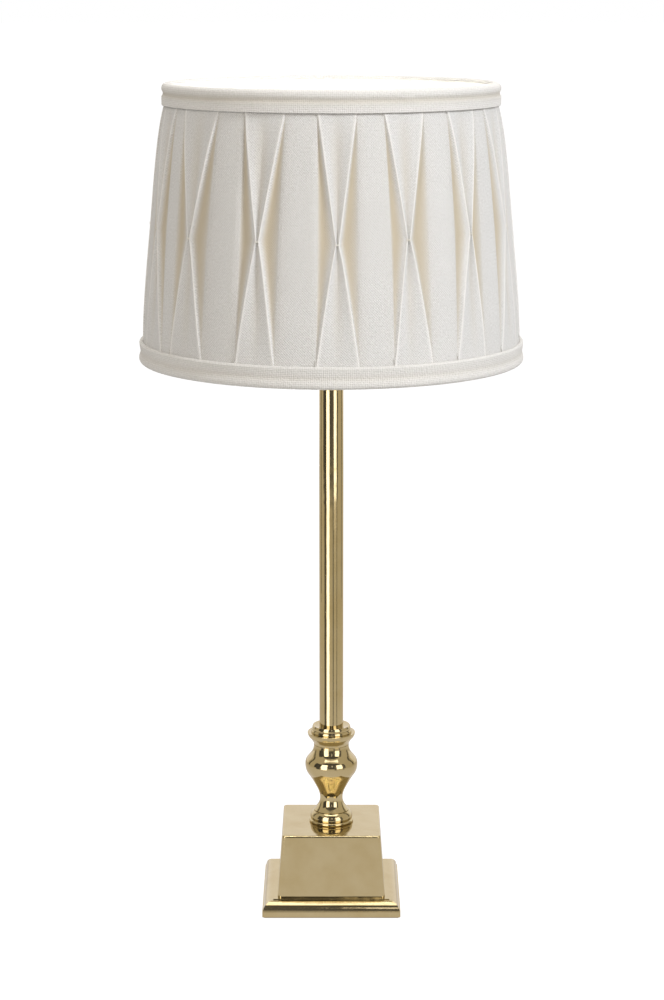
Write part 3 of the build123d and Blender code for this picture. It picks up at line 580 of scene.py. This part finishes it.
bottomBinding = makeBinding("bottomBinding", "bottom_trim", circle=121.9, height=372.0, way=1,
                            seam=142.0, groove=0.4, proud=0.0, values=binding)
topBinding = makeBinding("topBinding", "top_trim", circle=104.2, height=544.5, way=-1,
                         seam=-65.0, groove=1.1, proud=1.0, values=binding)
print("bindings done:", len(topBinding.data.polygons), "faces each")


# Pinch stitches.

# thread is the thread's radius, and half is half the way across the pinch.
stitch = {"thread": 0.25, "turns": 2, "half": 1.7, "pitch": 0.5, "slant": 0.25, "stand": 0.25,
          "drop": 1.6, "steps": 10, "sides": 6}


def makeStitches(values):
    # Small tubes over each waist. A path is an arch, outward = top - drop side^4, with side from
    # -1 to 1 across the pinch.
    azimuth = np.radians(np.array(cover["azimuth"])) - math.pi / 2
    side = np.linspace(-1, 1, values["steps"])[None, None, :]
    turn = (np.arange(values["turns"]) - (values["turns"] - 1) / 2)[None, :, None]
    count = len(azimuth)
    slant = dice.uniform(-values["slant"], values["slant"], (count, 1, 1))
    waist = np.array(cover["waistHeight"])[:, None, None]
    height = waist + turn * values["pitch"] + slant * side
    out = cover["waistRise"] + values["stand"] - values["drop"] * side ** 4
    radius = clothRadius(height) + out
    angle = azimuth[:, None, None] + side * values["half"] / radius
    ring = np.linspace(0, 2 * math.pi, values["sides"], endpoint=False)
    # Each section lies in the plane of "outward" and "up", closed to a point at both ends.
    size = values["thread"] * np.sqrt(np.clip(1 - side ** 8, 0, 1))
    section = aroundAxis(radius[..., None] + size[..., None] * np.cos(ring), angle[..., None],
                         height[..., None] + size[..., None] * np.sin(ring))
    tubes = count * values["turns"]
    faces = gridFaces(values["steps"], values["sides"], False, True)[:, ::-1]
    offset = (np.arange(tubes) * values["steps"] * values["sides"])[:, None, None]
    every = (faces[None] + offset).reshape(-1, 4)
    piece = meshObject("pinchStitches", section.reshape(-1, 3), every)
    piece.data.materials.append(cottonThread)
    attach(piece, "shade")
    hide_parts("pinch_stitches")
    return piece


pinchStitches = makeStitches(stitch)
print("stitches done")


# Stage: floor, world, lamps, cards.

# eye is the share of plain white, of strength lift, in the floor that the eye sees. near and far
# are where the floor's mirror image turns from nearFloor, a painted pool of light, to mirrored,
# in metres.
stage = {"floor": "#c4c4c4", "floorHalf": 30000, "eye": 0.75, "lift": 1.3,
         "ambient": 0.50, "ambientColour": (1.0, 0.95, 0.89), "cardTint": (1, 0.95, 0.95),
         "mirrored": (0.68, 0.61, 0.50, 1), "nearFloor": (0.83, 0.78, 0.76, 1), "near": 0.2, "far": 0.75}


def rayShare(tree, *kinds):
    # 1 for the named kinds of ray, else 0.
    path = addNode(tree, "LightPath")
    share = path.outputs[kinds[0]]
    for kind in kinds[1:]:
        share = addNode(tree, "Math", {"operation": "MAXIMUM"}, {0: share, 1: path.outputs[kind]}).outputs[0]
    return share


def makeWorld(values):
    # Plain white to the eye, a dim tan room in the brass, and a warm grey light on matt things.
    world = bpy.data.worlds.new("studio")
    scene.world = world
    world.use_nodes = True
    tree = world.node_tree
    tree.nodes.clear()
    eye = rayShare(tree, "Is Camera Ray", "Is Transmission Ray")
    soft = [part * values["ambient"] for part in values["ambientColour"]] + [1]
    tone = addNode(tree, "Mix", {"data_type": "RGBA", 6: soft, 7: values["mirrored"]},
                   {0: rayShare(tree, "Is Glossy Ray")}).outputs[2]
    tone = addNode(tree, "Mix", {"data_type": "RGBA", 7: (1, 1, 1, 1)}, {0: eye, 6: tone}).outputs[2]
    sky = addNode(tree, "Background", links={"Color": tone})
    addNode(tree, "OutputWorld", links={"Surface": sky.outputs[0]})


def makeFloor(values):
    # A white board: the eye sees mostly plain white, with part of its real shading kept. The
    # brass mirrors it tan, with a painted pool of light that makes it paler near the lamp.
    material, tree = newMaterial("white_board")
    place = addNode(tree, "TexCoord").outputs["Object"]
    away = addNode(tree, "VectorMath", {"operation": "LENGTH"}, {0: place}).outputs["Value"]
    # Painted pool of light: the mirrored tan is paler near the lamp.
    tan = addNode(tree, "Mix", {"data_type": "RGBA", 6: values["nearFloor"], 7: values["mirrored"]},
                  {0: ramp(tree, away, values["near"], values["far"])}).outputs[2]
    board = addNode(tree, "BsdfDiffuse", {"Color": linear(values["floor"])})
    white = addNode(tree, "Emission", {"Color": (1, 1, 1, 1), "Strength": values["lift"]})
    dim = addNode(tree, "Emission", links={"Color": tan})
    seen = addNode(tree, "Math", {"operation": "MULTIPLY", 1: values["eye"]},
                   {0: rayShare(tree, "Is Camera Ray", "Is Transmission Ray")}).outputs[0]
    both = addNode(tree, "MixShader", links={0: seen, 1: board.outputs[0], 2: white.outputs[0]})
    whole = addNode(tree, "MixShader", links={0: rayShare(tree, "Is Glossy Ray"), 1: both.outputs[0],
                                              2: dim.outputs[0]})
    addNode(tree, "OutputMaterial", links={"Surface": whole.outputs[0]})
    half = values["floorHalf"]
    corners = np.array([(-half, -half, 0), (half, -half, 0), (half, half, 0), (-half, half, 0)], float)
    floor = meshObject("floor", corners, np.array([[0, 1, 2, 3]]), smooth=False)
    floor.data.materials.append(material)


def roundAbout(azimuth, distance, height):
    # A place in mm: azimuth in degrees from the front, growing to the right.
    turn = math.radians(azimuth)
    return np.array((math.sin(turn) * distance, -math.cos(turn) * distance, height))


def addLamp(name, azimuth, height, distance, size, power, colour, aim=300):
    # A soft box that faces the lamp's axis at the height of aim, in mm. Mirrors don't show it.
    data = bpy.data.lights.new(name, "AREA")
    data.shape, data.size, data.size_y = "RECTANGLE", size[0] * mm, size[1] * mm
    data.energy, data.color = power, colour
    lamp = bpy.data.objects.new(name, data)
    scene.collection.objects.link(lamp)
    place = Vector(roundAbout(azimuth, distance, height)) * mm
    lamp.location = place
    lamp.rotation_euler = (place - Vector((0, 0, aim * mm))).to_track_quat("Z", "Y").to_euler()
    lamp.visible_glossy = False


def showToMirrors(name, corners, tone):
    # A flat, evenly bright card that only mirrors see.
    material, tree = newMaterial(name)
    colour = [tone * part for part in stage["cardTint"]] + [1]
    glow = addNode(tree, "Emission", {"Color": colour, "Strength": 1.0})
    addNode(tree, "OutputMaterial", links={"Surface": glow.outputs[0]})
    card = meshObject(name, corners, np.array([[0, 1, 2, 3]]), smooth=False)
    card.data.materials.append(material)
    card.visible_camera = card.visible_diffuse = card.visible_shadow = False
    card.visible_transmission = False


def addCard(name, azimuth, spread, low, high, distance, tone):
    # A standing card that covers spread degrees as seen from the axis; tone is its brightness.
    across = roundAbout(azimuth + 90, distance * math.tan(math.radians(spread / 2)), 0)
    corners = np.stack([roundAbout(azimuth, distance, z) + across * way
                        for z, way in ((low, -1), (low, 1), (high, 1), (high, -1))])
    showToMirrors(name, corners, tone)


def addCeiling(height, side, tone):
    # A level card over the lamp.
    half = side / 2
    corners = np.array([(-half, -half, height), (-half, half, height), (half, half, height),
                        (half, -half, height)], float)
    showToMirrors("ceiling", corners, tone)


makeWorld(stage)
makeFloor(stage)
white, warm, cool = (1, 1, 1), (1, 0.95, 0.90), (0.93, 0.95, 1.0)
addLamp("keyLight", 50, 1600, 1900, (500, 900), 34, cool)
addLamp("leftLight", -32, 1300, 1900, (500, 1000), 11, warm)
addLamp("topLight", 180, 1900, 500, (1300, 1100), 13, white)
# Two small lamps behind the stem, aimed up into the shade: the brass below mirrors the lit liner.
for turn in (145, 215):
    addLamp("linerLight", turn, 285, 80, (30, 30), 0.8, white, aim=450)
# name, azimuth, spread, low, high, distance, brightness: a white wall behind, two windows with
# dark room between, beside and above them and a bright gap in its middle, a dark edge at each
# side, and low strips near the foot.
cards = [("whiteWall", 180, 110, 0, 1400, 1500, 1.07),
         ("leftWindow", -32, 28, 0, 1150, 1350, 3.6), ("rightWindow", 37, 26, 0, 1150, 1350, 3.0),
         ("darkMiddle", 3, 44, 0, 1150, 1360, 0.13), ("brightGap", 3, 2.0, 500, 1100, 1340, 2.0),
         ("darkAbove", -3, 100, 1150, 2300, 1350, 0.12), ("darkFarLeft", -64, 34, 0, 1150, 1350, 0.08),
         ("darkFarRight", 58, 14, 0, 1150, 1350, 0.12),
         ("leftEdge", -112, 8, 60, 700, 600, 0.12), ("rightEdge", 112, 8, 60, 700, 600, 0.12),
         ("nearDarkLeft", -60, 18, 0, 300, 380, 0.10), ("nearBright", -31, 24, 0, 300, 380, 3.2),
         ("nearDarkFront", 18, 9, 0, 300, 380, 0.22), ("nearDarkRight", 54, 7, 0, 300, 380, 0.25)]
for card in cards:
    addCard(*card)
addCeiling(2500, 2200, 2.6)

scene.view_settings.view_transform = "Standard"
bpy.context.view_layer.update()
print("scene done")
